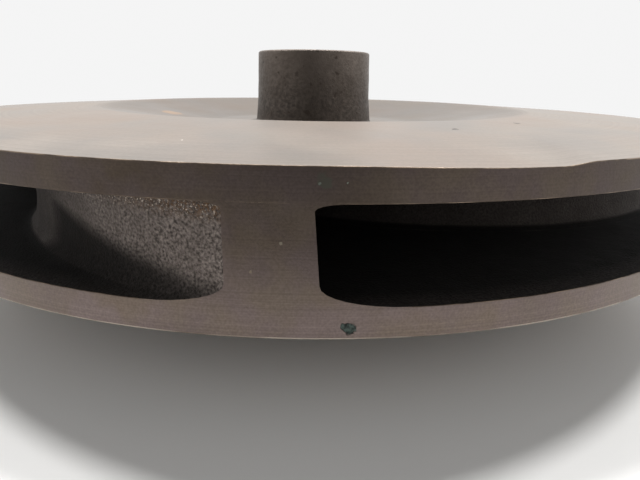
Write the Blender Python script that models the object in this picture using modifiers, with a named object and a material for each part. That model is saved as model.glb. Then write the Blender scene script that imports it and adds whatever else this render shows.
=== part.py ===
"""A closed centrifugal pump impeller, cast in bronze and turned on its rim, standing on its suction neck.

Metres, +Z up. The origin is the middle of the suction neck's end face, which the impeller stands on.
The casting is one piece. Its regions are separate solids here, a hairline gap apart.
"""

import math

import bmesh
import bpy
from mathutils import Vector

# Turned sizes
RIM_RADIUS = 0.165
RIM_WIDTH = 0.0378
BACK_RIM = 0.0077
FRONT_RIM = 0.0074
NECK_HEIGHT = 0.022
EDGE_CHAMFER = 0.0006
GAP = 0.0003

# Heights above the neck's end face
RIM_BOTTOM = NECK_HEIGHT
RIM_TOP = RIM_BOTTOM + RIM_WIDTH
FLOOR_Z = RIM_BOTTOM + FRONT_RIM
CEILING_Z = RIM_TOP - BACK_RIM

# Back face: a shallow cone from the rim to a crest, then a dish round the hub
CREST_RADIUS = 0.1007
CREST_Z = RIM_TOP + 0.0035
DISH_Z = RIM_TOP - 0.0045
DISH_FLAT_RADIUS = 0.052

# Hub: a boss with casting draft and a flared foot, and the cone that turns the water in the eye
HUB_TOP = RIM_TOP + 0.0285
HUB_TOP_RADIUS = 0.0270
HUB_WAIST_RADIUS = 0.0275
HUB_WAIST_Z = DISH_Z + 0.0125
HUB_BASE_RADIUS = 0.0286
HUB_FILLET = 0.002
HUB_EDGE = 0.0010
BORE_RADIUS = 0.0175
KEYWAY_WIDTH = 0.010
KEYWAY_DEPTH = 0.0033
NOSE_Z = 0.018
NOSE_RADIUS = 0.029
NOSE_EDGE = 0.002
CONE_RADIUS = 0.086
CONE_LAST_ANGLE = 80.0

# Eye and throat
EYE_RADIUS = 0.072
THROAT_ROUND = 0.015
THROAT_RADIUS = EYE_RADIUS + THROAT_ROUND
NECK_RADIUS = 0.082
NECK_SPLIT_Z = 0.0125
NECK_CHAMFER = 0.0010
SHROUD_ROOT_Z = 0.0195
SHROUD_FILLET = 0.007

# Vanes: a spiral, as the angle of the convex side over the log of the radius, that steepens inwards
VANE_COUNT = 4
VANE_EXIT_ANGLE = math.radians(-96.4)
VANE_EXIT_SLOPE = math.radians(217.0)
VANE_SLOPE_CHANGE = math.radians(192.0)
VANE_STEADY_TRAVEL = 0.27
VANE_THICKNESS = 0.0049
FLOOR_FILLET = 0.005
CEILING_FILLET = 0.0015
VANE_NOSE_DEPTH = 0.004
VANE_NOSE_SHARE = 0.35
VANE_END_GAP = 0.0005
NOSE_AT_FLOOR = 0.086
NOSE_AT_CEILING = 0.058
VANE_OVERRUN = 0.022

# Facets
DISC_STEPS = 72
HUB_STEPS = 40
VANE_STATIONS = 26
NOSE_CROWDING = 1.3
RIM_CROWDING = 1.35
ROOT_STEPS = 3
CONE_STEP = 8.0
THROAT_STEP = 15.0
SHROUD_FILLET_STEP = 22.5
HUB_FILLET_STEP = 30.0
SHARP_EDGE = math.radians(30.0)

# Surface colours, linear
CAST_BRONZE = (0.16, 0.11, 0.07)
TURNED_BRONZE = (0.12, 0.09, 0.07)
PALE_BACK = (0.52, 0.45, 0.40)
DARK_HUB = (0.05, 0.04, 0.035)


def clear_scene():
    for thing in list(bpy.data.objects):
        bpy.data.objects.remove(thing, do_unlink=True)


def new_collection(name):
    made = bpy.data.collections.new(name)
    bpy.context.scene.collection.children.link(made)
    return made


def new_material(name, colour, roughness):
    made = bpy.data.materials.new(name)
    made.use_nodes = True
    shader = made.node_tree.nodes["Principled BSDF"]
    shader.inputs["Base Color"].default_value = (*colour, 1.0)
    shader.inputs["Roughness"].default_value = roughness
    shader.inputs["Metallic"].default_value = 1.0
    return made


def new_object(name, mesh, collection, material):
    made = bpy.data.objects.new(name, mesh)
    collection.objects.link(made)
    if not mesh.materials:
        mesh.materials.append(material)
    return made


def make_cutter(thing, name, collection):
    """Put an object among the cutters, which only cut and never show."""
    thing.name = name
    for old in list(thing.users_collection):
        old.objects.unlink(thing)
    collection.objects.link(thing)
    thing.hide_render = True
    thing.display_type = "WIRE"
    return thing


def cut(thing, cutter, operation):
    modifier = thing.modifiers.new(cutter.name, "BOOLEAN")
    modifier.operation = operation
    modifier.object = cutter


def arc(centre, radii, start, end, step):
    """Points (r, z) on an ellipse about a centre, from one angle to another in degrees."""
    count = max(1, round(abs(end - start) / step))
    points = []
    for index in range(count + 1):
        angle = math.radians(start + (end - start) * index / count)
        points.append((centre[0] + radii[0] * math.cos(angle), centre[1] + radii[1] * math.sin(angle)))
    return points


def finish(thing):
    """Make the modifiers' result the mesh, shaded smooth but for its sharp edges."""
    evaluated = thing.evaluated_get(bpy.context.evaluated_depsgraph_get())
    mesh = bpy.data.meshes.new_from_object(evaluated)
    thing.modifiers.clear()
    thing.data = mesh
    mesh.shade_smooth()
    mesh.set_sharp_from_angle(angle=SHARP_EDGE)


def turned(name, profile, steps, collection, material):
    """A closed profile of (r, z) points, down its outer side, turned about the Z axis."""
    mesh = bpy.data.meshes.new(name)
    edges = [(index, (index + 1) % len(profile)) for index in range(len(profile))]
    mesh.from_pydata([(r, 0.0, z) for r, z in profile], edges, [])
    made = new_object(name, mesh, collection, material)
    screw = made.modifiers.new("turn", "SCREW")
    screw.angle = math.tau
    screw.steps = steps
    screw.render_steps = steps
    screw.use_merge_vertices = True
    screw.merge_threshold = 0.00001
    return made


def ceiling_z(radius):
    """Height of the passage ceiling: flat to the hub's cone, then down it."""
    if radius >= CONE_RADIUS:
        return CEILING_Z
    across = (CONE_RADIUS - radius) / (CONE_RADIUS - NOSE_RADIUS)
    return NOSE_Z + (CEILING_Z - NOSE_Z) * math.sqrt(1.0 - across ** 2)


def floor_z(radius):
    """Height of the passage floor: flat to the throat, then round it into the eye."""
    if radius >= THROAT_RADIUS:
        return FLOOR_Z
    return FLOOR_Z - THROAT_ROUND + math.sqrt(THROAT_ROUND ** 2 - (THROAT_RADIUS - radius) ** 2)


def vane_angle(radius):
    """Angle in plan of the vane's convex side at a radius."""
    travel = math.log(RIM_RADIUS / radius)
    bent = min(travel, VANE_STEADY_TRAVEL)
    steady_slope = VANE_EXIT_SLOPE - 2.0 * VANE_SLOPE_CHANGE * VANE_STEADY_TRAVEL
    bent_turn = VANE_EXIT_SLOPE * bent - VANE_SLOPE_CHANGE * bent ** 2
    return VANE_EXIT_ANGLE - bent_turn - steady_slope * (travel - bent)


def on_convex_side(radius):
    return Vector((radius * math.cos(vane_angle(radius)), radius * math.sin(vane_angle(radius))))


def into_vane(radius):
    """Unit normal in plan from the convex side into the vane."""
    step = 0.0001
    along = (on_convex_side(radius + step) - on_convex_side(radius - step)).normalized()
    return Vector((-along.y, along.x))


def vane_rows():
    """Rows up a vane's side: 0 at the floor or 1 at the ceiling, offset from it, stand-out of the fillet."""
    low_rows = []
    high_rows = []
    for rows, share, fillet in ((low_rows, 0.0, FLOOR_FILLET), (high_rows, 1.0, CEILING_FILLET)):
        first_angle = math.asin(1.0 - VANE_END_GAP / fillet)
        for step in range(ROOT_STEPS + 1):
            angle = first_angle * (1.0 - step / ROOT_STEPS)
            rows.append((share, fillet * (1.0 - math.sin(angle)), fillet * (1.0 - math.cos(angle))))
    return low_rows + high_rows[::-1]


def station_radius(nose, share):
    """Radius at a station: even steps along the vane, but for shorter ones at its nose."""
    end = RIM_RADIUS + VANE_OVERRUN
    along = share ** NOSE_CROWDING
    return nose + (end - nose) * (1.0 - (1.0 - along) ** RIM_CROWDING)


def vane_section(share_along):
    """The closed loop of points round the vane at a share of the way from its nose to past the rim."""
    middle = VANE_THICKNESS / 2.0
    convex_side = []
    concave_side = []
    for share, offset, stand_out in vane_rows():
        nose = NOSE_AT_FLOOR + (NOSE_AT_CEILING - NOSE_AT_FLOOR) * share
        radius = station_radius(nose, share_along)
        past_nose = min(1.0, (radius - nose) / VANE_NOSE_DEPTH)
        fullness = max(VANE_NOSE_SHARE, math.sqrt(1.0 - (1.0 - past_nose) ** 2))
        half = (middle + stand_out) * fullness
        for side, reach in ((convex_side, middle - half), (concave_side, middle + half)):
            place = on_convex_side(radius) + into_vane(radius) * reach
            z = ceiling_z(place.length) - offset if share else floor_z(place.length) + offset
            side.append((place.x, place.y, z))
    return convex_side + concave_side[::-1]


def vane_mesh():
    """One vane with fillets at both roots, lofted from its nose to just past the rim."""
    shape = bmesh.new()
    loops = []
    for station in range(VANE_STATIONS + 1):
        loops.append([shape.verts.new(point) for point in vane_section(station / VANE_STATIONS)])
    for near, far in zip(loops, loops[1:]):
        for index in range(len(near)):
            after = (index + 1) % len(near)
            shape.faces.new((near[index], near[after], far[after], far[index]))
    shape.faces.new(loops[0][::-1])
    shape.faces.new(loops[-1])
    bmesh.ops.recalc_face_normals(shape, faces=shape.faces)
    mesh = bpy.data.meshes.new("vane")
    shape.to_mesh(mesh)
    shape.free()
    return mesh


def build_hub(parts, cutters):
    """The boss with its bore and keyway, and the cone under the back shroud."""
    foot = HUB_BASE_RADIUS + HUB_FILLET
    cone_radii = (NOSE_RADIUS - CONE_RADIUS, CEILING_Z - NOSE_Z)
    cone = arc((CONE_RADIUS, NOSE_Z), cone_radii, CONE_LAST_ANGLE, 0.0, CONE_STEP)
    nose_end = NOSE_Z - NOSE_EDGE
    profile = [(BORE_RADIUS + HUB_EDGE, HUB_TOP), (HUB_TOP_RADIUS - HUB_EDGE, HUB_TOP)]
    profile += [(HUB_TOP_RADIUS, HUB_TOP - HUB_EDGE), (HUB_WAIST_RADIUS, HUB_WAIST_Z)]
    profile += arc((foot, DISH_Z + HUB_FILLET), (HUB_FILLET, HUB_FILLET), 180.0, 270.0, HUB_FILLET_STEP)
    profile += [(foot, CEILING_Z - GAP), (cone[0][0], CEILING_Z - GAP)]
    profile += cone
    profile += [(NOSE_RADIUS - NOSE_EDGE, nose_end), (BORE_RADIUS + HUB_EDGE, nose_end)]
    profile += [(BORE_RADIUS, nose_end + HUB_EDGE), (BORE_RADIUS, HUB_TOP - HUB_EDGE)]
    hub = turned("hub", profile, HUB_STEPS, parts, new_material("dark hub bronze", DARK_HUB, 0.6))

    bpy.ops.mesh.primitive_cube_add(size=1.0)
    keyway = make_cutter(bpy.context.active_object, "keyway_cutter", cutters)
    keyway.scale = (BORE_RADIUS + KEYWAY_DEPTH, KEYWAY_WIDTH, 2.0 * HUB_TOP)
    keyway.location = ((BORE_RADIUS + KEYWAY_DEPTH) / 2.0, 0.0, HUB_TOP / 2.0)
    cut(hub, keyway, "DIFFERENCE")
    finish(hub)


def build_back_shroud(parts):
    """The upper disc: rim, shallow cone, crest and the dish round the hub."""
    hole = HUB_BASE_RADIUS + HUB_FILLET + GAP
    profile = [(hole, DISH_Z), (DISH_FLAT_RADIUS, DISH_Z), (CREST_RADIUS, CREST_Z)]
    profile += [(RIM_RADIUS - EDGE_CHAMFER, RIM_TOP), (RIM_RADIUS, RIM_TOP - EDGE_CHAMFER)]
    profile += [(RIM_RADIUS, CEILING_Z), (hole, CEILING_Z)]
    material = new_material("pale back bronze", PALE_BACK, 0.6)
    finish(turned("back_shroud", profile, DISC_STEPS, parts, material))


def build_front_shroud(parts):
    """The lower disc, from the rim to the throat of the eye."""
    split = NECK_SPLIT_Z + GAP
    throat_centre = (THROAT_RADIUS, FLOOR_Z - THROAT_ROUND)
    profile = arc(throat_centre, (THROAT_ROUND, THROAT_ROUND), 180.0, 90.0, THROAT_STEP)
    profile += [(RIM_RADIUS, FLOOR_Z), (RIM_RADIUS, RIM_BOTTOM + EDGE_CHAMFER)]
    profile += [(RIM_RADIUS - EDGE_CHAMFER, RIM_BOTTOM)]
    root = (NECK_RADIUS + SHROUD_FILLET, SHROUD_ROOT_Z - SHROUD_FILLET)
    profile += arc(root, (SHROUD_FILLET, SHROUD_FILLET), 90.0, 180.0, SHROUD_FILLET_STEP)[:-1]
    profile += [(NECK_RADIUS, split), (EYE_RADIUS, split)]
    material = new_material("turned bronze", TURNED_BRONZE, 0.5)
    finish(turned("front_shroud", profile, DISC_STEPS, parts, material))


def build_suction_neck(parts):
    """The ring that stands out round the eye."""
    profile = [(EYE_RADIUS, NECK_SPLIT_Z), (NECK_RADIUS, NECK_SPLIT_Z), (NECK_RADIUS, NECK_CHAMFER)]
    profile += [(NECK_RADIUS - NECK_CHAMFER, 0.0), (EYE_RADIUS + NECK_CHAMFER, 0.0)]
    profile += [(EYE_RADIUS, NECK_CHAMFER)]
    material = new_material("turned neck bronze", TURNED_BRONZE, 0.5)
    finish(turned("suction_neck", profile, DISC_STEPS, parts, material))


def build_vanes(parts, cutters):
    """Four like vanes, a quarter turn apart, trimmed to the rim."""
    bpy.ops.mesh.primitive_cylinder_add(vertices=DISC_STEPS, radius=RIM_RADIUS, depth=2.0 * HUB_TOP)
    rim = make_cutter(bpy.context.active_object, "rim_cutter", cutters)
    material = new_material("cast bronze", CAST_BRONZE, 0.7)
    mesh = vane_mesh()
    for index in range(VANE_COUNT):
        vane = new_object(f"vane_{index + 1}", mesh, parts, material)
        vane.rotation_euler.z = math.tau * index / VANE_COUNT
        cut(vane, rim, "INTERSECT")
        finish(vane)


clear_scene()
impeller = new_collection("impeller")
cutting = new_collection("cutters")
build_hub(impeller, cutting)
build_back_shroud(impeller)
build_front_shroud(impeller)
build_suction_neck(impeller)
build_vanes(impeller, cutting)
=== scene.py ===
"""The looks of a closed pump impeller: one bronze sand casting, turned on its rim, back and neck.

Metres, +Z up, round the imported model. The impeller stands on its suction neck, with its hub up.
"""
import math

import bpy
from mathutils import Matrix, Vector, noise


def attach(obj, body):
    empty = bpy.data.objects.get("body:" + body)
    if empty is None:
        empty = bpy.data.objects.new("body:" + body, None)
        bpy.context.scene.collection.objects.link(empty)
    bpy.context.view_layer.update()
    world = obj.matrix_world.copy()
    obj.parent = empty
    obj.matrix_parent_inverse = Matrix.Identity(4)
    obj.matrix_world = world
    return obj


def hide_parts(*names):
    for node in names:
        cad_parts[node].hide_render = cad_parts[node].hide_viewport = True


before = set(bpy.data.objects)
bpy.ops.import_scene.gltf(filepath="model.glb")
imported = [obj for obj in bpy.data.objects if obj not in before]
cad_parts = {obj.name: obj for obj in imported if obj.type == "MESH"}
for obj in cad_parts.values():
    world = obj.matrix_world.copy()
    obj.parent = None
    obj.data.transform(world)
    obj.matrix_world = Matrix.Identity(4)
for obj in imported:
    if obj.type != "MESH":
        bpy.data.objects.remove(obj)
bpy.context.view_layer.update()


# Back shroud
# The upper disc of the casting, in leaded tin bronze. Its rim and its back are turned, its underside
# keeps the skin of the sand core, and years in water have left brown tarnish over all of it.
MM = 0.001
RIM_RADIUS = 165.0
RIM_BOTTOM = 22.0
RIM_TOP = 59.8
FLOOR_Z = 29.4
CEILING_Z = 52.1
CREST_RADIUS = 100.7
CREST_Z = 63.3
DISH_RADIUS = 52.0
DISH_Z = 55.3
EDGE_ROUND = 0.25
LIP_ROUND = 0.2
HOLD = 0.04
DISC_STEPS = 600
DISC_SPACING = 3.0


def linear(hex_colour):
    """An sRGB hex colour as the linear RGBA that shaders take."""
    channels = [int(hex_colour[index:index + 2], 16) / 255.0 for index in (1, 3, 5)]
    return (*(c / 12.92 if c <= 0.04045 else ((c + 0.055) / 1.055) ** 2.4 for c in channels), 1.0)


def add(material, kind, inputs, **settings):
    """Add a node to a material, and return it. An input is a value, or a socket that it is linked to."""
    tree = material.node_tree
    made = tree.nodes.new("ShaderNode" + kind)
    for name, value in settings.items():
        setattr(made, name, value)
    for name, value in inputs.items():
        if isinstance(value, bpy.types.NodeSocket):
            tree.links.new(value, made.inputs[name])
        else:
            made.inputs[name].default_value = value
    return made


def bronze(name, metallic):
    """A new bronze: the material, and its place in the casting in metres."""
    material = bpy.data.materials.new(name)
    material.use_nodes = True
    material.node_tree.nodes["Principled BSDF"].inputs["Metallic"].default_value = metallic
    return material, add(material, "TexCoord", {}).outputs["Object"]


def cloud(material, place, size, detail, low, high):
    """Noise with cells of a size in millimetres, spread to run from 0 at low to 1 at high."""
    texture = add(material, "TexNoise", {"Vector": place, "Scale": 1 / (size * MM), "Detail": detail})
    spread = add(material, "MapRange", {"Value": texture.outputs["Fac"], "From Min": low, "From Max": high})
    return spread.outputs[0]


def blended(material, share, first, second):
    """One colour running into another. Each is a hex colour or a socket."""
    ends = [linear(colour) if isinstance(colour, str) else colour for colour in (first, second)]
    return add(material, "Mix", {0: share, 6: ends[0], 7: ends[1]}, data_type="RGBA").outputs[2]


def total(material, heights):
    """The sum of (socket, height in millimetres) pairs."""
    result = 0.0
    for socket, height in heights:
        result = add(material, "Math", {0: socket, 1: height, 2: result}, operation="MULTIPLY_ADD").outputs[0]
    return result


def spot(material, place, centre, size):
    """1 inside a ragged spot of a size round a centre, both in millimetres, and 0 well outside it."""
    ragged = add(material, "TexNoise", {"Vector": place, "Scale": 1 / (0.8 * size * MM), "Detail": 2.0})
    away = add(material, "VectorMath", {0: place, 1: centre * MM}, operation="DISTANCE")
    reach = add(material, "Math", {0: ragged.outputs["Fac"], 1: -1.4 * size * MM, 2: away.outputs["Value"]},
                operation="MULTIPLY_ADD")
    edge = {"Value": reach.outputs[0], "From Min": 0.0, "From Max": -0.25 * size * MM}
    return add(material, "MapRange", edge, interpolation_type="SMOOTHSTEP").outputs[0]


def connect(material, colour, roughness, height):
    """Link a colour, a roughness and a height in millimetres to the material's shader."""
    shader = material.node_tree.nodes["Principled BSDF"]
    bump = add(material, "Bump", {"Height": height, "Strength": 1.0, "Distance": MM})
    for socket, name in ((colour, "Base Color"), (roughness, "Roughness"), (bump.outputs["Normal"], "Normal")):
        material.node_tree.links.new(socket, shader.inputs[name])
    return material


def at(radius, angle, z):
    """The point at a distance from the axis, an angle in degrees and a height."""
    return Vector((radius * math.cos(math.radians(angle)), radius * math.sin(math.radians(angle)), z))


VERDIGRIS = at(RIM_RADIUS, -87.2, 24.9)
RIM_SPOTS = ((at(RIM_RADIUS, -89.1, 56.6), 2.4, "#504e47"), (at(RIM_RADIUS, -89.5, 56.3), 0.5, "#6b7068"),
             (at(RIM_RADIUS, -92.2, 43.9), 0.6, "#766f63"), (at(RIM_RADIUS, -94.4, 37.4), 0.6, "#71675b"),
             (at(RIM_RADIUS, -87.6, 56.5), 0.3, "#7d857a"))
BACK_SPOTS = ((at(71.0, 180.0, 58.6), 9.0, "#7e664f"), (at(141.1, -103.1, 61.1), 0.5, "#c9c2b8"))
BACK_PITS = (at(118.6, -69.1, 62.3), at(112.4, -52.2, 62.7))


def radius_of(material, place):
    """The distance from the axis, as a socket in metres."""
    flat = add(material, "VectorMath", {0: place, 1: (1.0, 1.0, 0.0)}, operation="MULTIPLY")
    return add(material, "VectorMath", {0: flat.outputs[0]}, operation="LENGTH").outputs["Value"]


def turned_rim():
    """Finely turned bronze under brown tarnish: level tool lines and specks, and a painted reflection of the lit table
    that makes the rim paler low down and darker high up.
    """
    material, place = bronze("turned tin bronze rim", 1.0)
    height = add(material, "SeparateXYZ", {0: place}).outputs["Z"]
    tool = add(material, "TexNoise", {"W": height, "Scale": 1 / (0.45 * MM), "Detail": 1.0},
               noise_dimensions="1D").outputs["Fac"]
    patches = cloud(material, place, 22.0, 4.0, 0.36, 0.64)
    tinge = cloud(material, place, 9.0, 2.0, 0.38, 0.62)
    speckle = cloud(material, place, 0.55, 2.0, 0.35, 0.65)
    # Painted reflection: this share by height turns the rim from its darker upper colours to its paler lower ones,
    # where the rim would mirror the lit table.
    height_share = add(material, "MapRange", {"Value": height, "From Min": 44.0 * MM, "From Max": 25.0 * MM}).outputs[0]
    upper = blended(material, patches, "#52483f", "#5f554d")
    lower = blended(material, patches, "#6c6057", "#766b63")
    brown = blended(material, height_share, upper, lower)
    violet = blended(material, height_share, "#584e4b", "#726663")
    tinged = blended(material, tinge, brown, violet)
    grain = add(material, "Math", {0: speckle, 1: 0.22}, operation="MULTIPLY").outputs[0]
    lines = add(material, "MapRange", {"Value": tool, "From Min": 0.3, "From Max": 0.7, "To Max": 0.2}).outputs[0]
    lined = blended(material, lines, tinged, "#453c36")
    colour = blended(material, grain, lined, "#2f2925")
    for centre, size, tint in RIM_SPOTS:
        colour = blended(material, spot(material, place, centre, size), colour, tint)
    verdigris = spot(material, place, VERDIGRIS, 2.3)
    crust = blended(material, cloud(material, place, 0.8, 2.0, 0.4, 0.6), "#252927", "#434c48")
    colour = blended(material, verdigris, colour, crust)
    roughness = add(material, "MapRange", {"Value": patches, "To Min": 0.38, "To Max": 0.50}).outputs[0]
    return connect(material, colour, roughness, total(material, ((tool, 0.012), (speckle, -0.01), (verdigris, 0.1))))


def turned_face(name, dark, pale, warm, dish_shade, spots, pit_places):
    """Turned bronze with a pale dry film: faint rings of the tool, soft stains, and a few pits.

    The painted shade that darkens the dish inside the crest is as strong as dish_shade says.
    """
    material, place = bronze(name, 1.0)
    radius = radius_of(material, place)
    tool = add(material, "TexNoise", {"W": radius, "Scale": 1 / (1.1 * MM), "Detail": 1.0},
               noise_dimensions="1D").outputs["Fac"]
    patches = cloud(material, place, 30.0, 4.0, 0.36, 0.64)
    warmth = cloud(material, place, 45.0, 3.0, 0.40, 0.62)
    speckle = cloud(material, place, 0.9, 2.0, 0.3, 0.7)
    film = blended(material, warmth, blended(material, patches, dark, pale), warm)
    # Painted shade: the dish inside the crest is coloured darker because its slope turns away from the lamps.
    dish = add(material, "MapRange", {"Value": radius, "From Min": (CREST_RADIUS + 2.0) * MM,
                                      "From Max": (CREST_RADIUS - 5.0) * MM, "To Max": dish_shade}).outputs[0]
    film = blended(material, dish, film, "#554e47")
    rings = add(material, "MapRange", {"Value": tool, "From Min": 0.3, "From Max": 0.7, "To Max": 0.25}).outputs[0]
    grain = add(material, "Math", {0: speckle, 1: 0.2}, operation="MULTIPLY").outputs[0]
    ringed = blended(material, rings, film, "#564e47")
    colour = blended(material, grain, ringed, "#4a423c")
    for centre, size, tint in spots:
        colour = blended(material, spot(material, place, centre, size), colour, tint)
    pits = []
    for centre in pit_places:
        pits.append(spot(material, place, centre, 1.8))
        colour = blended(material, pits[-1], colour, "#2a211c")
    roughness = add(material, "MapRange", {"Value": patches, "To Min": 0.44, "To Max": 0.52}).outputs[0]
    relief = [(tool, 0.01), (speckle, 0.008)] + [(pit, -0.4) for pit in pits]
    return connect(material, colour, roughness, total(material, relief))


def cored_skin():
    """Bronze cast against a sand core: its grain and brown scale by the roof, with painted shade that turns it near
    black low on the wall, on the floor and far in.
    """
    material, place = bronze("sand cast tin bronze", 0.8)
    height = add(material, "SeparateXYZ", {0: place}).outputs["Z"]
    radius = radius_of(material, place)
    sand = cloud(material, place, 0.65, 3.0, 0.33, 0.67)
    fine = cloud(material, place, 0.35, 1.0, 0.3, 0.7)
    lumps = cloud(material, place, 8.0, 3.0, 0.3, 0.7)
    skin = blended(material, sand, "#3a3431", "#8b817b")
    inner = add(material, "MapRange", {"Value": radius, "From Min": 160.0 * MM, "From Max": 150.0 * MM,
                                       "To Max": 0.6}).outputs[0]
    skin = blended(material, inner, skin, "#625a55")
    dusted = blended(material, lumps, skin, "#4e4742")
    half = blended(material, 0.5, skin, dusted)
    near_roof = add(material, "MapRange", {"Value": height, "From Min": 47.0 * MM, "From Max": 51.0 * MM}).outputs[0]
    near_rim = add(material, "MapRange", {"Value": radius, "From Min": 152.0 * MM, "From Max": 163.0 * MM}).outputs[0]
    scale = cloud(material, place, 0.7, 3.0, 0.40, 0.60)
    scaled = add(material, "Math", {0: near_roof, 1: scale}, operation="MULTIPLY")
    scaled = add(material, "Math", {0: scaled.outputs[0], 1: near_rim}, operation="MULTIPLY").outputs[0]
    # Painted shade: the wall is coloured near black below a line that climbs inwards, where the front lip hides the
    # light.
    sloped = add(material, "Math", {0: radius, 1: 0.75, 2: height}, operation="MULTIPLY_ADD").outputs[0]
    low = add(material, "MapRange", {"Value": sloped, "From Min": 159.5 * MM, "From Max": 153.0 * MM, "To Max": 0.92},
              interpolation_type="SMOOTHSTEP").outputs[0]
    outer = add(material, "MapRange", {"Value": radius, "From Min": 143.0 * MM, "From Max": 149.5 * MM},
                interpolation_type="SMOOTHSTEP").outputs[0]
    low = add(material, "Math", {0: low, 1: outer}, operation="MULTIPLY").outputs[0]
    # Painted shade, darker further in from the rim.
    deep_shade = add(material, "MapRange", {"Value": radius, "From Min": 157.0 * MM, "From Max": 144.0 * MM, "To Max": 0.60},
               interpolation_type="SMOOTHSTEP").outputs[0]
    # Painted shade on faces that look up, such as the passage floor.
    facing = add(material, "SeparateXYZ", {0: add(material, "NewGeometry", {}).outputs["Normal"]}).outputs["Z"]
    floor_shade = add(material, "MapRange", {"Value": facing, "From Min": 0.5, "From Max": 0.9, "To Max": 0.97},
                  interpolation_type="SMOOTHSTEP").outputs[0]
    shade_parts = add(material, "Math", {0: low, 1: deep_shade}, operation="MAXIMUM").outputs[0]
    shade_parts = add(material, "Math", {0: shade_parts, 1: floor_shade}, operation="MAXIMUM").outputs[0]
    # The painted shade eases off towards the opening at the rim.
    shade_eased_by_rim = add(material, "MapRange", {"Value": radius, "From Min": 157.0 * MM, "From Max": 165.0 * MM,
                                       "To Min": 1.0, "To Max": 0.85}).outputs[0]
    painted_shade = add(material, "Math", {0: shade_parts, 1: shade_eased_by_rim}, operation="MULTIPLY").outputs[0]
    flecks = add(material, "Math", {0: cloud(material, place, 0.5, 1.0, 0.62, 0.70), 1: near_roof},
                 operation="MULTIPLY").outputs[0]
    unshaded_skin = blended(material, scaled, half, "#66503d")
    unshaded_skin = blended(material, flecks, unshaded_skin, "#c9beb2")
    # The near black colour here is painted shade, and where it lies the skin is also made dull and less metallic.
    colour = blended(material, painted_shade, unshaded_skin, "#0b0a09")
    metal_outside_shade = add(material, "MapRange", {"Value": painted_shade, "To Min": 0.8, "To Max": 0.0}).outputs[0]
    shader = material.node_tree.nodes["Principled BSDF"]
    material.node_tree.links.new(metal_outside_shade, shader.inputs["Metallic"])
    shader.inputs["Specular IOR Level"].default_value = 0.12
    roughness = add(material, "MapRange", {"Value": painted_shade, "To Min": 0.60, "To Max": 0.9}).outputs[0]
    return connect(material, colour, roughness,
                   total(material, ((sand, 0.16), (fine, 0.06), (lumps, 0.25), (scaled, 0.3))))


def worn_edge():
    """A turned edge where handling has rubbed the tarnish off in places."""
    material, place = bronze("rubbed tin bronze edge", 1.0)
    rubbed = cloud(material, place, 6.0, 4.0, 0.42, 0.62)
    colour = blended(material, rubbed, "#51473f", "#7d6e60")
    roughness = add(material, "MapRange", {"Value": rubbed, "To Min": 0.55, "To Max": 0.42}).outputs[0]
    return connect(material, colour, roughness, total(material, ((cloud(material, place, 0.6, 1.0, 0.3, 0.7), 0.02),)))


TURNED_RIM = turned_rim()
TURNED_BACK = turned_face("turned tin bronze back", "#6b645d", "#7a726a", "#776b61", 0.55, BACK_SPOTS, BACK_PITS)
CORED_SKIN = cored_skin()
WORN_EDGE = worn_edge()


def rounded(corners, longest):
    """Points round a closed outline of (radius, height, corner radius), in runs no longer than longest.

    A point stands close by on either side of a small edge, so that the flats beside it are shaded flat.
    """
    points = []
    for index, (radius, z, size) in enumerate(corners):
        here = Vector((radius, z))
        back = (Vector(corners[index - 1][:2]) - here).normalized()
        ahead = (Vector(corners[(index + 1) % len(corners)][:2]) - here).normalized()
        if size == 0.0:
            points.append(here)
            continue
        opening = back.angle(ahead)
        centre = here + (back + ahead).normalized() * size / math.sin(opening / 2.0)
        start = here + back * size / math.tan(opening / 2.0) - centre
        end = here + ahead * size / math.tan(opening / 2.0) - centre
        steps = max(2, round((math.pi - opening) / math.radians(18.0)))
        arc = [centre + Matrix.Rotation(-start.angle_signed(end) * step / steps, 2) @ start
               for step in range(steps + 1)]
        points += arc if size > EDGE_ROUND else [arc[0] + back * HOLD, *arc, arc[-1] + ahead * HOLD]
    fine = []
    for here, there in zip(points, points[1:] + points[:1]):
        pieces = max(1, math.ceil((there - here).length / longest))
        fine += [here.lerp(there, step / pieces) for step in range(pieces)]
    return fine


def lathe(name, outline, steps):
    """Draw a closed outline by extruding one vertex along it, and turn it round the axis."""
    bpy.ops.object.select_all(action="DESELECT")
    bpy.ops.mesh.primitive_plane_add(size=MM, location=(0.0, 0.0, 0.0))
    piece = bpy.context.object
    piece.name = name
    bpy.ops.object.mode_set(mode="EDIT")
    bpy.ops.mesh.merge(type="CENTER")
    bpy.ops.transform.translate(value=(outline[0].x * MM, 0.0, outline[0].y * MM))
    for here, there in zip(outline, outline[1:] + outline[:1]):
        step = (there - here) * MM
        bpy.ops.mesh.extrude_vertices_move(TRANSFORM_OT_translate={"value": (step.x, 0.0, step.y)})
    bpy.ops.mesh.select_all(action="SELECT")
    bpy.ops.mesh.remove_doubles(threshold=0.001 * MM)
    bpy.ops.object.mode_set(mode="OBJECT")
    turning = piece.modifiers.new("turning", "SCREW")
    turning.angle = math.tau
    turning.steps = steps
    turning.render_steps = steps
    bpy.ops.object.modifier_apply(modifier="turning")
    bpy.ops.object.mode_set(mode="EDIT")
    bpy.ops.mesh.select_all(action="SELECT")
    bpy.ops.mesh.remove_doubles(threshold=0.001 * MM)
    bpy.ops.mesh.normals_make_consistent(inside=False)
    bpy.ops.object.mode_set(mode="OBJECT")
    bpy.ops.object.shade_smooth_by_angle(angle=math.radians(35.0))
    return piece


def paint(piece, materials, choose):
    """Give each face the material at the index that choose works out from its radius, height and normal."""
    for material in materials:
        piece.data.materials.append(material)
    for face in piece.data.polygons:
        face.material_index = choose(face.center.xy.length / MM, face.center.z / MM, face.normal)


def smooth_step(low, high, value):
    """0 below low and 1 above high, with a smooth rise between them."""
    share = min(1.0, max(0.0, (value - low) / (high - low)))
    return share * share * (3.0 - 2.0 * share)


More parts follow.
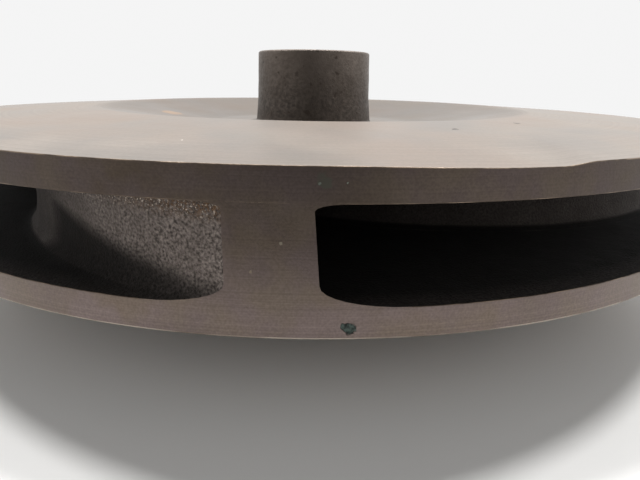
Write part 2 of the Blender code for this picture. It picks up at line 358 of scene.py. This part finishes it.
GRIND_DEPTH = 0.8
GRIND_DEEPEST = -71.0
GRIND_START = -89.0
GRIND_INNER = 0.80


def ground_off(radius, angle):
    """How far the back is ground down there, to balance the impeller."""
    end = GRIND_DEEPEST + 3.5 + 6.5 * (1.0 - radius / RIM_RADIUS) / (1.0 - GRIND_INNER)
    if not GRIND_START < angle < end:
        return 0.0
    along = min(smooth_step(GRIND_START, GRIND_DEEPEST, angle), smooth_step(end, end - 3.5, angle))
    return GRIND_DEPTH * along * smooth_step(GRIND_INNER, 1.0, radius / RIM_RADIUS)


def roughen(piece, height, size, where):
    """Move points along their normals by noise, as far as where lets them, all in millimetres."""
    normals = [vertex.normal.copy() for vertex in piece.data.vertices]
    for vertex, normal in zip(piece.data.vertices, normals):
        reach = where(vertex.co.xy.length / MM, vertex.co.z / MM, normal)
        if reach > 0.0:
            vertex.co += normal * noise.noise(vertex.co / (size * MM)) * height * reach * MM


back_shroud = lathe("back_shroud_casting", rounded((
    (24.0, CEILING_Z, 0.0), (24.0, DISH_Z, 0.0), (DISH_RADIUS, DISH_Z, 25.0), (CREST_RADIUS, CREST_Z, 4.0),
    (RIM_RADIUS, RIM_TOP, EDGE_ROUND), (RIM_RADIUS, CEILING_Z, LIP_ROUND)), DISC_SPACING), DISC_STEPS)
paint(back_shroud, (TURNED_RIM, TURNED_BACK, CORED_SKIN, WORN_EDGE), lambda radius, z, normal: (
    2 if normal.z < -0.95 else 1 if normal.z > 0.95 else 3 if abs(normal.z) > 0.05 else 0))
for vertex in back_shroud.data.vertices:
    if vertex.co.z > (CEILING_Z + 1.0) * MM:
        turn = math.degrees(math.atan2(vertex.co.y, vertex.co.x))
        share = (vertex.co.z / MM - CEILING_Z) / (RIM_TOP - CEILING_Z)
        vertex.co.z -= ground_off(vertex.co.xy.length / MM, turn) * min(1.0, share) * MM
roughen(back_shroud, 0.06, 30.0, lambda radius, z, normal: (
    smooth_step(RIM_RADIUS - 0.5, RIM_RADIUS - 12.0, radius) if normal.z > 0.95 else 0.0))
roughen(back_shroud, 0.15, 9.0, lambda radius, z, normal: normal.z < -0.9 and 90.0 < radius < 160.0)
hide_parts("back_shroud")
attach(back_shroud, "root")


# Hub
# A boss with casting draft, cast with the shrouds and left rough and dark outside. It is bored and
# keyed for the shaft, and under the shroud it widens into the cone that turns the water in the eye.
HUB_TOP = 88.3
HUB_TOP_RADIUS = 27.0
HUB_WAIST_RADIUS = 27.5
HUB_WAIST_Z = 67.8
HUB_BASE_RADIUS = 28.6
HUB_FILLET = 2.0
HUB_EDGE = 1.0
HUB_STEPS = 240
BORE_RADIUS = 17.5
KEYWAY_WIDTH = 10.0
KEYWAY_DEPTH = 3.3
NOSE_Z = 18.0
NOSE_RADIUS = 29.0
NOSE_END = 16.0
CONE_RADIUS = 86.0
SUNK = 0.02


def ceiling_z(radius):
    """Height of the passage roof: level to the hub's cone, then down it."""
    if radius >= CONE_RADIUS:
        return CEILING_Z
    across = (CONE_RADIUS - radius) / (CONE_RADIUS - NOSE_RADIUS)
    return NOSE_Z + (CEILING_Z - NOSE_Z) * math.sqrt(max(0.0, 1.0 - across ** 2))


def dark_casting():
    """Sand-cast bronze under a dark brown oxide: coarse grain, small pits, and rubbed high spots."""
    material, place = bronze("dark sand cast tin bronze", 0.85)
    sand = cloud(material, place, 1.5, 3.0, 0.33, 0.67)
    fine = cloud(material, place, 0.5, 1.0, 0.3, 0.7)
    patches = cloud(material, place, 14.0, 3.0, 0.35, 0.65)
    pits = cloud(material, place, 3.0, 1.0, 0.64, 0.76)
    height = add(material, "SeparateXYZ", {0: place}).outputs["Z"]
    height_share = add(material, "MapRange", {"Value": height, "From Min": 66.0 * MM, "From Max": 86.0 * MM}).outputs[0]
    skin = blended(material, sand, "#453f3a", "#564e48")
    rubbed = blended(material, height_share, skin, "#6a615a")
    stained = blended(material, patches, rubbed, "#4a423b")
    half = blended(material, 0.5, rubbed, stained)
    colour = blended(material, pits, half, "#403832")
    roughness = add(material, "MapRange", {"Value": sand, "To Min": 0.62, "To Max": 0.50}).outputs[0]
    return connect(material, colour, roughness, total(material, ((sand, 0.04), (fine, 0.03), (pits, -0.06))))


def bored():
    """Bored bronze, kept brighter by the shaft and the seal rings that ran on it."""
    material, place = bronze("bored tin bronze", 1.0)
    height = add(material, "SeparateXYZ", {0: place}).outputs["Z"]
    tool = add(material, "TexNoise", {"W": height, "Scale": 1 / (0.4 * MM), "Detail": 1.0},
               noise_dimensions="1D").outputs["Fac"]
    stain = cloud(material, place, 9.0, 4.0, 0.38, 0.64)
    colour = blended(material, stain, "#937a5e", "#665241")
    roughness = add(material, "MapRange", {"Value": stain, "To Min": 0.28, "To Max": 0.45}).outputs[0]
    return connect(material, colour, roughness, total(material, ((tool, 0.012), (stain, 0.02))))


DARK_CASTING = dark_casting()
BORED = bored()
TURNED_END = turned_face("turned tin bronze hub end", "#716962", "#80776f", "#7d7166", 0.0, (), ())
cone = []
for step in range(30):
    turn = math.radians(90.0 - 3.0 * step)
    cone.append((CONE_RADIUS - (CONE_RADIUS - NOSE_RADIUS) * math.cos(turn),
                 NOSE_Z + (CEILING_Z - NOSE_Z) * math.sin(turn), 0.0))
hub = lathe("hub_casting", rounded((
    (BORE_RADIUS, HUB_TOP, HUB_EDGE), (HUB_TOP_RADIUS, HUB_TOP, HUB_EDGE),
    (HUB_WAIST_RADIUS, HUB_WAIST_Z, 40.0),
    (HUB_BASE_RADIUS, DISH_Z - SUNK, HUB_FILLET), (HUB_BASE_RADIUS + 5.0, DISH_Z - SUNK, 0.0),
    (HUB_BASE_RADIUS + 5.0, CEILING_Z + 1.6, 0.0), (CONE_RADIUS + 1.5, CEILING_Z + 0.2, 0.0), *cone,
    (NOSE_RADIUS, NOSE_END, 2.0), (BORE_RADIUS, NOSE_END, HUB_EDGE)), 1.0), HUB_STEPS)
paint(hub, (TURNED_END, DARK_CASTING, CORED_SKIN, BORED), lambda radius, z, normal: (
    3 if radius < BORE_RADIUS + HUB_EDGE or z < NOSE_END + 0.3 else 0 if z > HUB_TOP - 0.01
    else 1 if z > CEILING_Z + 2.0 else 2))
roughen(hub, 0.12, 5.0, lambda radius, z, normal: (
    smooth_step(DISH_Z, DISH_Z + 4.0, z) * smooth_step(HUB_TOP - 2.0, HUB_TOP - 10.0, z) if radius > 24.0 else 0.0))
roughen(hub, 0.2, 9.0, lambda radius, z, normal: (
    smooth_step(CEILING_Z - 0.5, CEILING_Z - 5.0, z) * smooth_step(NOSE_Z, NOSE_Z + 3.0, z) if radius > 24.0 else 0.0))

bpy.ops.object.select_all(action="DESELECT")
bpy.ops.mesh.primitive_cube_add(size=MM, location=((BORE_RADIUS + KEYWAY_DEPTH) / 2.0 * MM, 0.0, HUB_TOP / 2.0 * MM),
                                scale=(BORE_RADIUS + KEYWAY_DEPTH, KEYWAY_WIDTH, 2.0 * HUB_TOP))
broach = bpy.context.object
broach.data.materials.append(BORED)
keyway = hub.modifiers.new("keyway", "BOOLEAN")
keyway.operation = "DIFFERENCE"
keyway.object = broach
keyway.material_mode = "TRANSFER"
bpy.context.view_layer.objects.active = hub
bpy.ops.object.modifier_apply(modifier="keyway")
bpy.data.objects.remove(broach)
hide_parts("hub")
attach(hub, "root")


# Front shroud
# The lower disc of the casting. Its rim and its outer face are turned, and stay cleaner than the back.
# The passage floor keeps the skin of the core down to the throat, which is blended into the bored eye.
EYE_RADIUS = 72.0
THROAT_ROUND = 15.0
THROAT_RADIUS = EYE_RADIUS + THROAT_ROUND
BURR_TOP = RIM_BOTTOM + 0.4
ROOT_RADIUS = 81.8
ROOT_Z = 19.3
ROOT_FILLET = 7.0
NECK_SPLIT_Z = 12.5


def floor_z(radius):
    """Height of the passage floor: level to the throat, then round it into the eye."""
    if radius >= THROAT_RADIUS:
        return FLOOR_Z
    return FLOOR_Z - THROAT_ROUND + math.sqrt(THROAT_ROUND ** 2 - (THROAT_RADIUS - radius) ** 2)


def burred():
    """The fine burr that the lathe left on the lower edge, coloured paler: rubbed in places, and partly a painted
    highlight along the edge.
    """
    material, place = bronze("burred tin bronze edge", 1.0)
    rubbed = cloud(material, place, 16.0, 4.0, 0.38, 0.58)
    # The pale end of this colour partly stands in for the highlight that the edge catches from the table.
    colour = blended(material, rubbed, "#766b61", "#a59b90")
    roughness = add(material, "MapRange", {"Value": rubbed, "To Min": 0.6, "To Max": 0.5}).outputs[0]
    return connect(material, colour, roughness, total(material, ((cloud(material, place, 0.6, 1.0, 0.3, 0.7), 0.02),)))


BURR = burred()
TURNED_FRONT = turned_face("turned tin bronze front", "#7d7268", "#8d8175", "#897a6b", 0.0, (), ())
front_shroud = lathe("front_shroud_casting", rounded((
    (EYE_RADIUS, NECK_SPLIT_Z - 0.3, 0.0), (EYE_RADIUS, FLOOR_Z, THROAT_ROUND), (RIM_RADIUS, FLOOR_Z, LIP_ROUND),
    (RIM_RADIUS, BURR_TOP, 0.0), (RIM_RADIUS, RIM_BOTTOM, EDGE_ROUND), (ROOT_RADIUS, ROOT_Z, ROOT_FILLET),
    (ROOT_RADIUS, NECK_SPLIT_Z - 0.3, 0.0)), DISC_SPACING), DISC_STEPS)
paint(front_shroud, (TURNED_RIM, TURNED_FRONT, CORED_SKIN, WORN_EDGE, BURR), lambda radius, z, normal: (
    4 if radius > RIM_RADIUS - EDGE_ROUND and z < BURR_TOP else 0 if radius > RIM_RADIUS - 0.01 else
    3 if radius > RIM_RADIUS - LIP_ROUND and z > BURR_TOP else
    2 if z > RIM_BOTTOM and normal.z > 0.1 or radius < 80.0 and z > NECK_SPLIT_Z else 1))
roughen(front_shroud, 0.15, 9.0, lambda radius, z, normal: (
    smooth_step(160.0, 154.0, radius) * smooth_step(NECK_SPLIT_Z + 2.0, NECK_SPLIT_Z + 6.0, z)
    if normal.z > 0.1 or radius < 80.0 else 0.0))
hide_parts("front_shroud")
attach(front_shroud, "root")


# Suction neck
# The ring round the eye, part of the same casting. Its land runs in the casing's wear ring, so it is
# turned finest of all, and its end face is what the impeller stands on here.
NECK_RADIUS = 82.0
NECK_BORE = 72.1
NECK_EDGE = 0.8

suction_neck = lathe("suction_neck_casting", rounded((
    (NECK_BORE, NECK_SPLIT_Z, 0.0), (NECK_RADIUS, NECK_SPLIT_Z, 0.3), (NECK_RADIUS, 0.0, NECK_EDGE),
    (NECK_BORE, 0.0, NECK_EDGE)), DISC_SPACING), DISC_STEPS)
paint(suction_neck, (BORED,), lambda radius, z, normal: 0)
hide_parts("suction_neck")
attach(suction_neck, "root")


# Vanes
# Four like vanes join the shrouds and sweep back to the rim, where the lathe has cut their ends flush.
# Each is a spiral that steepens inwards, with the core's fillets at its foot and its roof.
VANE_COUNT = 4
VANE_EXIT_ANGLE = math.radians(-96.4)
VANE_EXIT_SLOPE = math.radians(217.0)
VANE_SLOPE_CHANGE = math.radians(192.0)
VANE_STEADY_TRAVEL = 0.27
VANE_THICKNESS = 4.9
VANE_DRAFT = 0.3
FLOOR_FILLET = 5.0
CEILING_FILLET = 1.5
NOSE_DEPTH = 4.0
NOSE_AT_FLOOR = 86.0
NOSE_AT_CEILING = 58.0
END_RADIUS = RIM_RADIUS - 0.004
TIP_BACK = 0.10
TIP_WIDTH = 0.4
NOSE_STATIONS = 8
SIDE_STATIONS = 170
END_STATIONS = 14
WALL_ROWS = 12
ROOT_DEPTH = 0.3


def vane_angle(radius):
    """Angle in plan of the vane's convex side at a radius."""
    travel = math.log(RIM_RADIUS / radius)
    bent = min(travel, VANE_STEADY_TRAVEL)
    steady_slope = VANE_EXIT_SLOPE - 2.0 * VANE_SLOPE_CHANGE * VANE_STEADY_TRAVEL
    bent_turn = VANE_EXIT_SLOPE * bent - VANE_SLOPE_CHANGE * bent ** 2
    return VANE_EXIT_ANGLE - bent_turn - steady_slope * (travel - bent)


def on_vane(radius, reach):
    """A point in plan, a reach into the vane from its convex side at a radius."""
    here, there = (Vector((r * math.cos(vane_angle(r)), r * math.sin(vane_angle(r))))
                   for r in (radius, radius + 0.1))
    along = (there - here).normalized()
    return here + Vector((-along.y, along.x)) * reach


def station_at(end, reach):
    """The radius along the vane at which the point with that reach is at a distance from the axis."""
    low, high = end - 12.0, end + 12.0
    for _ in range(30):
        middle = (low + high) / 2.0
        low, high = (middle, high) if on_vane(middle, reach).length < end else (low, middle)
    return low


def row_plan(nose, half, sign):
    """One side of the vane in plan at one height, from its nose to the rim."""
    middle = VANE_THICKNESS / 2.0
    end = station_at(END_RADIUS - (TIP_BACK if sign > 0 else 0.0), middle + sign * half)
    points = []
    for station in range(NOSE_STATIONS + SIDE_STATIONS + 1):
        past = NOSE_DEPTH * min(1.0, station / NOSE_STATIONS) ** 2
        past += (end - nose - NOSE_DEPTH) * max(0, station - NOSE_STATIONS) / SIDE_STATIONS
        fullness = math.sqrt(max(0.0, 1.0 - max(0.0, 1.0 - past / NOSE_DEPTH) ** 2))
        points.append(on_vane(nose + past, middle + sign * half * fullness))
    return points


def row_loop(nose, half, draft):
    """Both sides of the vane in plan at one height, and its turned end between them."""
    convex, concave = row_plan(nose, half, -1), row_plan(nose, half + draft, 1)
    tip_reach = VANE_THICKNESS / 2.0 + half + draft
    tip_point = on_vane(station_at(END_RADIUS, tip_reach), tip_reach)
    first = math.atan2(convex[-1].y, convex[-1].x)
    last = math.atan2(tip_point.y, tip_point.x) - min(TIP_WIDTH, half) / RIM_RADIUS
    turns = [first + (last - first) * step / END_STATIONS for step in range(1, END_STATIONS + 1)]
    end = [Vector((math.cos(turn), math.sin(turn))) * END_RADIUS for turn in turns]
    return convex + end + concave[::-1]


def vane_rows():
    """The vane's points, row by row from inside the floor to inside the roof, in millimetres."""
    middle = VANE_THICKNESS / 2.0
    roots = ([], [])
    for rows, nose, surface, fillet, steps, up in ((roots[0], NOSE_AT_FLOOR, floor_z, FLOOR_FILLET, 9, 1),
                                                   (roots[1], NOSE_AT_CEILING, ceiling_z, CEILING_FILLET, 5, -1)):
        heights = [(-ROOT_DEPTH, fillet, 0.0), (-ROOT_DEPTH, fillet, 1.0)]
        for step in range(steps):
            turn = math.radians(90.0) * (1.0 - step / (steps - 1))
            heights.append((fillet * (1.0 - math.sin(turn)), fillet * (1.0 - math.cos(turn)), 1.0))
        for offset, stand_out, width in heights:
            loop = row_loop(nose, (middle + stand_out) * width, VANE_DRAFT * width if up > 0 else 0.0)
            rows.append([Vector((*point, surface(point.length) + up * offset)) for point in loop])
    foot, roof = roots[0][-1], roots[1][-1]
    wall = [[low.lerp(high, step / WALL_ROWS) for low, high in zip(foot, roof)] for step in range(1, WALL_ROWS)]
    return roots[0] + wall + roots[1][::-1]


def painted_tip_highlight():
    """The vane's trailing edge, coloured pale as a painted highlight along it."""
    material, place = bronze("tin bronze tip with painted highlight", 1.0)
    # This noise only varies the pale tone of the painted highlight.
    rubbed = cloud(material, place, 3.0, 3.0, 0.35, 0.6)
    colour = blended(material, rubbed, "#877f77", "#a8a198")
    roughness = add(material, "MapRange", {"Value": rubbed, "To Min": 0.6, "To Max": 0.5}).outputs[0]
    return connect(material, colour, roughness, total(material, ((rubbed, 0.02),)))


TIP_HIGHLIGHT = painted_tip_highlight()
rows = vane_rows()
across = len(rows[0])
bpy.ops.object.select_all(action="DESELECT")
bpy.ops.mesh.primitive_grid_add(x_subdivisions=across - 1, y_subdivisions=len(rows) - 1, size=MM)
vane = bpy.context.object
for index, vertex in enumerate(vane.data.vertices):
    vertex.co = rows[index // across][index % across] * MM
bpy.ops.object.mode_set(mode="EDIT")
bpy.ops.mesh.select_all(action="SELECT")
bpy.ops.mesh.remove_doubles(threshold=0.001 * MM)
bpy.ops.mesh.normals_make_consistent(inside=False)
bpy.ops.object.mode_set(mode="OBJECT")
bpy.ops.object.shade_smooth_by_angle(angle=math.radians(35.0))
# The trailing edge of each vane takes the painted highlight.
paint(vane, (CORED_SKIN, TURNED_RIM, TIP_HIGHLIGHT), lambda radius, z, normal: (
    1 if radius > END_RADIUS - 0.03 else 2 if radius > END_RADIUS - TIP_BACK else 0))
roughen(vane, 0.25, 9.0, lambda radius, z, normal: (
    smooth_step(162.0, 154.0, radius) * smooth_step(0.9, 0.5, abs(normal.z))))
for number in range(1, VANE_COUNT + 1):
    copy = vane if number == VANE_COUNT else vane.copy()
    if number < VANE_COUNT:
        copy.data = vane.data.copy()
        bpy.context.collection.objects.link(copy)
    copy.name = f"vane_{number}_casting"
    copy.data.transform(Matrix.Rotation(math.tau * (number - 1) / VANE_COUNT, 4, "Z"))
    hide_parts(f"vane_{number}")
    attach(copy, "root")


# Table and light
# A pale matt table that runs out into a pale room. Three small soft lamps hang above and behind, and a
# ring of soft lights stands low around it, with none in front, where the photographer would be.
TABLE_RADIUS = 0.34
TABLE_FADE = 0.22
LAMP_HEIGHT = 1.25
LAMP_BACK = 0.42
LAMP_SIZE = 0.16
LAMP_POWER = 15.0
GLOW_TIGHTNESS = 8.0
GLOW_LIFT = 14.0
GLOWS = {"right": (0.0, 1.5), "back right": (45.0, 1.5), "back": (90.0, 1.6), "back left": (135.0, 1.3),
         "left": (180.0, 1.2), "front left": (225.0, 1.25), "front right": (315.0, 1.4)}
ROOM_SEEN = 0.91

bpy.ops.object.select_all(action="DESELECT")
bpy.ops.mesh.primitive_circle_add(vertices=96, radius=TABLE_RADIUS, fill_type="NGON")
table = bpy.context.object
table.name = "table"
laminate, spread = bronze("matt laminate", 0.0)
away = add(laminate, "VectorMath", {0: spread}, operation="LENGTH").outputs["Value"]
fade = add(laminate, "MapRange", {"Value": away, "From Min": TABLE_FADE, "From Max": TABLE_RADIUS},
           interpolation_type="SMOOTHSTEP").outputs[0]
top_shader = laminate.node_tree.nodes["Principled BSDF"]
top_shader.inputs["Base Color"].default_value = linear("#e9e8e6")
top_shader.inputs["Roughness"].default_value = 0.35
clear = add(laminate, "BsdfTransparent", {})
mixed = add(laminate, "MixShader", {0: fade, 1: top_shader.outputs[0], 2: clear.outputs[0]})
laminate.node_tree.links.new(mixed.outputs[0], laminate.node_tree.nodes["Material Output"].inputs["Surface"])
table.data.materials.append(laminate)

for side in (-0.6, 0.0, 0.6):
    bpy.ops.object.light_add(type="AREA", location=(side, LAMP_BACK, LAMP_HEIGHT))
    lamp = bpy.context.object
    lamp.data.shape = "DISK"
    lamp.data.size = LAMP_SIZE
    lamp.data.energy = LAMP_POWER
    lamp.rotation_euler = (-lamp.location).to_track_quat("-Z", "Y").to_euler()

room = bpy.data.worlds.new("pale room")
room.use_nodes = True
bpy.context.scene.world = room
toward = add(room, "TexCoord", {}).outputs["Generated"]
glow = 0.0
for turn, strength in GLOWS.values():
    aim = Matrix.Rotation(math.radians(turn), 3, "Z") @ Matrix.Rotation(math.radians(-GLOW_LIFT), 3, "Y")
    facing = add(room, "VectorMath", {0: toward, 1: aim @ Vector((1.0, 0.0, 0.0))}, operation="DOT_PRODUCT")
    ahead = add(room, "Math", {0: facing.outputs["Value"], 1: 0.0}, operation="MAXIMUM")
    soft = add(room, "Math", {0: ahead.outputs[0], 1: GLOW_TIGHTNESS}, operation="POWER")
    glow = add(room, "Math", {0: soft.outputs[0], 1: strength, 2: glow}, operation="MULTIPLY_ADD").outputs[0]
seen = add(room, "LightPath", {}).outputs["Is Camera Ray"]
bright = add(room, "Mix", {0: seen, 2: glow, 3: ROOM_SEEN}, data_type="FLOAT").outputs[0]
room.node_tree.links.new(bright, room.node_tree.nodes["Background"].inputs["Strength"])
room.node_tree.nodes["Background"].inputs["Color"].default_value = linear("#ffffff")
bpy.context.scene.view_settings.view_transform = "Standard"


# Camera
# It looks down a little on the near rim from close by, so the far side runs small.
CAMERA_PLACE = (0.0, -0.2615, 0.0757)
CAMERA_YAW = -0.99
CAMERA_TILT = 72.21
CAMERA_ROLL = 1.01

bpy.ops.object.camera_add(location=CAMERA_PLACE)
camera = bpy.context.object
turns = [Matrix.Rotation(math.radians(angle), 3, axis)
         for angle, axis in ((CAMERA_YAW, "Z"), (CAMERA_TILT, "X"), (CAMERA_ROLL, "Z"))]
camera.rotation_euler = (turns[0] @ turns[1] @ turns[2]).to_euler()
camera.data.lens = 28.125
camera.data.sensor_width = 36.0
camera.data.clip_start = 0.005
bpy.context.scene.camera = camera
